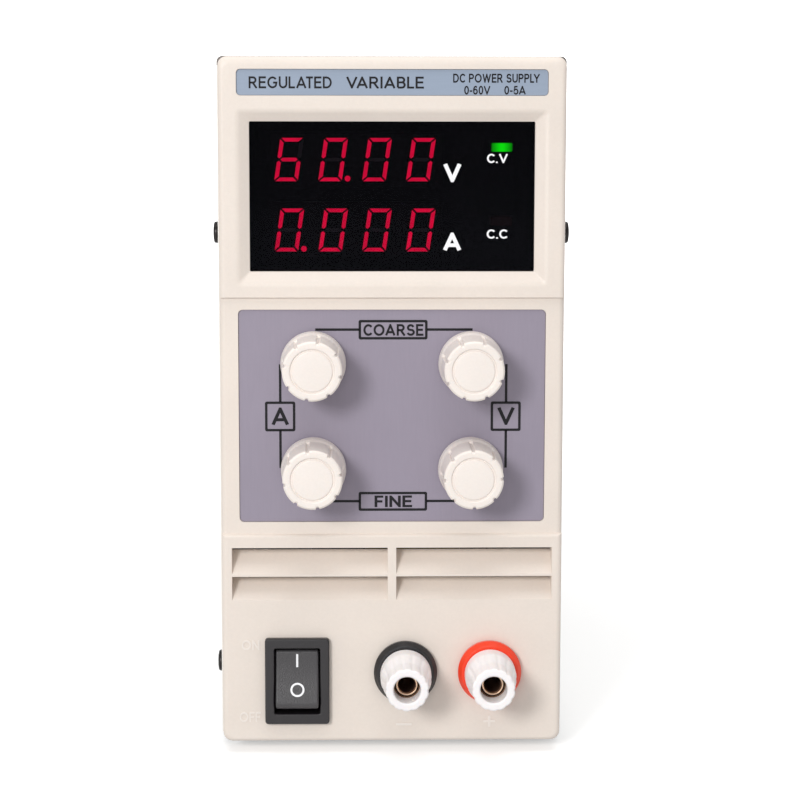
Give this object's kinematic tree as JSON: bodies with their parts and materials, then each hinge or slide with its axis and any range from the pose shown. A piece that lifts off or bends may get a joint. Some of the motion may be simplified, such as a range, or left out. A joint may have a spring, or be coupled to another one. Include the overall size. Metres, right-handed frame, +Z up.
{
  "type": "bench power supply",
  "caption": "Upright bench power supply with a twin LED display, adjustment knobs, rocker switch and binding posts in front, and a fan and mains inlet behind.",
  "frame": {"origin": "middle of the bounding box's underside, on the surface that the feet stand on", "axes": "+Z up, +Y from the front panel to the rear wall, +X to the right seen from the front"},
  "size_m": [0.084, 0.231, 0.1645],
  "materials": {
    "cream_plastic": "fine moulded texture",
    "cover_paint": "satin powder coat",
    "zinc_steel": "zinc plated sheet",
    "foot_rubber": "matte",
    "black_steel": "black oxide",
    "name_label": "printed film",
    "window_acrylic": "dark polished acrylic",
    "overlay_film": "printed polycarbonate film",
    "circuit_board": "solder mask",
    "display_epoxy": "moulded epoxy, red segments",
    "green_lens": "lit diffused lens",
    "red_lens": "unlit diffused lens",
    "knob_plastic": "satin moulded",
    "turned_steel": "turned",
    "pot_metal": "pressed",
    "switch_plastic": "moulded",
    "rocker_plastic": "satin moulded, white marks",
    "post_white": "moulded",
    "post_red": "moulded",
    "post_black": "moulded",
    "brass": "turned",
    "fan_plastic": "moulded",
    "chromed_wire": "polished",
    "inlet_plastic": "moulded",
    "selector_red": "moulded",
    "capacitor_sleeve": "shrink sleeve",
    "transformer_core": "sintered, taped winding",
    "heatsink_alloy": "extruded",
    "copper_winding": "enamelled wire"
  },
  "bodies": {
    "case": {"front_panel": "cream_plastic", "top_cover": "cover_paint", "bottom_chassis": "zinc_steel", "name_plate": "name_label", "display_window": "window_acrylic", "control_overlay": "overlay_film", "voltage_display": "display_epoxy", "current_display": "display_epoxy", "cv_led": "green_lens", "cc_led": "red_lens", "display_board": "circuit_board", "switch_frame": "switch_plastic", "fan_frame": "fan_plastic", "fan_guard": "chromed_wire", "mains_inlet": "inlet_plastic", "voltage_selector_body": "inlet_plastic", "main_board": "circuit_board", "transformer": "transformer_core", "heatsink": "heatsink_alloy", "bulk_capacitor_left": "capacitor_sleeve", "bulk_capacitor_right": "capacitor_sleeve", "output_inductor": "copper_winding", "current_coarse_pot": "pot_metal", "voltage_coarse_pot": "pot_metal", "current_fine_pot": "pot_metal", "voltage_fine_pot": "pot_metal", "negative_post_collar": "post_black", "negative_post_stud": "brass", "negative_post_nut": "brass", "positive_post_collar": "post_red", "positive_post_stud": "brass", "positive_post_nut": "brass", "foot_front_left": "foot_rubber", "cover_screw_front_left_upper": "black_steel", "cover_screw_front_left_lower": "black_steel", "foot_front_right": "foot_rubber", "cover_screw_front_right_upper": "black_steel", "cover_screw_front_right_lower": "black_steel", "foot_rear_left": "foot_rubber", "cover_screw_rear_left_upper": "black_steel", "cover_screw_rear_left_lower": "black_steel", "foot_rear_right": "foot_rubber", "cover_screw_rear_right_upper": "black_steel", "cover_screw_rear_right_lower": "black_steel"},
    "current_coarse": {"current_coarse_knob": "knob_plastic", "current_coarse_shaft": "turned_steel"},
    "voltage_coarse": {"voltage_coarse_knob": "knob_plastic", "voltage_coarse_shaft": "turned_steel"},
    "current_fine": {"current_fine_knob": "knob_plastic", "current_fine_shaft": "turned_steel"},
    "voltage_fine": {"voltage_fine_knob": "knob_plastic", "voltage_fine_shaft": "turned_steel"},
    "switch_rocker": {"switch_rocker": "rocker_plastic"},
    "negative_insert": {"negative_post_insert": "brass"},
    "negative_cap": {"negative_post_cap": "post_white"},
    "positive_insert": {"positive_post_insert": "brass"},
    "positive_cap": {"positive_post_cap": "post_white"},
    "fan_impeller": {"fan_impeller": "fan_plastic"},
    "fuse_drawer": {"fuse_drawer": "inlet_plastic"},
    "selector_slider": {"voltage_selector_slider": "selector_red"}
  },
  "joints": [
    {"name": "current_coarse_turn", "type": "hinge", "parent": "case", "child": "current_coarse", "pos_m": [-0.0184, -0.09755, 0.0935], "axis": [0, 1, 0], "range_deg": [-150, 150]},
    {"name": "voltage_coarse_turn", "type": "hinge", "parent": "case", "child": "voltage_coarse", "pos_m": [0.0184, -0.09755, 0.0935], "axis": [0, 1, 0], "range_deg": [-300, 0]},
    {"name": "current_fine_turn", "type": "hinge", "parent": "case", "child": "current_fine", "pos_m": [-0.0184, -0.09755, 0.0686], "axis": [0, 1, 0], "range_deg": [-150, 150]},
    {"name": "voltage_fine_turn", "type": "hinge", "parent": "case", "child": "voltage_fine", "pos_m": [0.0184, -0.09755, 0.0686], "axis": [0, 1, 0], "range_deg": [-150, 150]},
    {"name": "switch_rock", "type": "hinge", "parent": "case", "child": "switch_rocker", "pos_m": [-0.0224, -0.09605, 0.0182], "axis": [1, 0, 0], "range_deg": [0, 22]},
    {"name": "negative_cap_slide", "type": "slide", "parent": "case", "child": "negative_insert", "axis": [0, -1, 0], "range_m": [0, 0.005]},
    {"name": "negative_cap_turn", "type": "hinge", "parent": "negative_insert", "child": "negative_cap", "pos_m": [0.0032, -0.09755, 0.0202], "axis": [0, -1, 0], "range_deg": [0, 1800]},
    {"name": "positive_cap_slide", "type": "slide", "parent": "case", "child": "positive_insert", "axis": [0, -1, 0], "range_m": [0, 0.005]},
    {"name": "positive_cap_turn", "type": "hinge", "parent": "positive_insert", "child": "positive_cap", "pos_m": [0.0231, -0.09755, 0.0202], "axis": [0, -1, 0], "range_deg": [0, 1800]},
    {"name": "fan_spin", "type": "hinge", "parent": "case", "child": "fan_impeller", "pos_m": [0, 0.09745, 0.125], "axis": [0, 1, 0], "continuous": true},
    {"name": "fuse_drawer_slide", "type": "slide", "parent": "case", "child": "fuse_drawer", "axis": [0, 1, 0], "range_m": [0, 0.014]},
    {"name": "selector_slide", "type": "slide", "parent": "case", "child": "selector_slider", "axis": [-1, 0, 0], "range_m": [0, 0.006]}
  ],
  "couplings": [
    {"joint": "negative_cap_turn", "follows": "negative_cap_slide", "rad_per_m": 6283.1},
    {"joint": "positive_cap_turn", "follows": "positive_cap_slide", "rad_per_m": 6283.1}
  ]
}
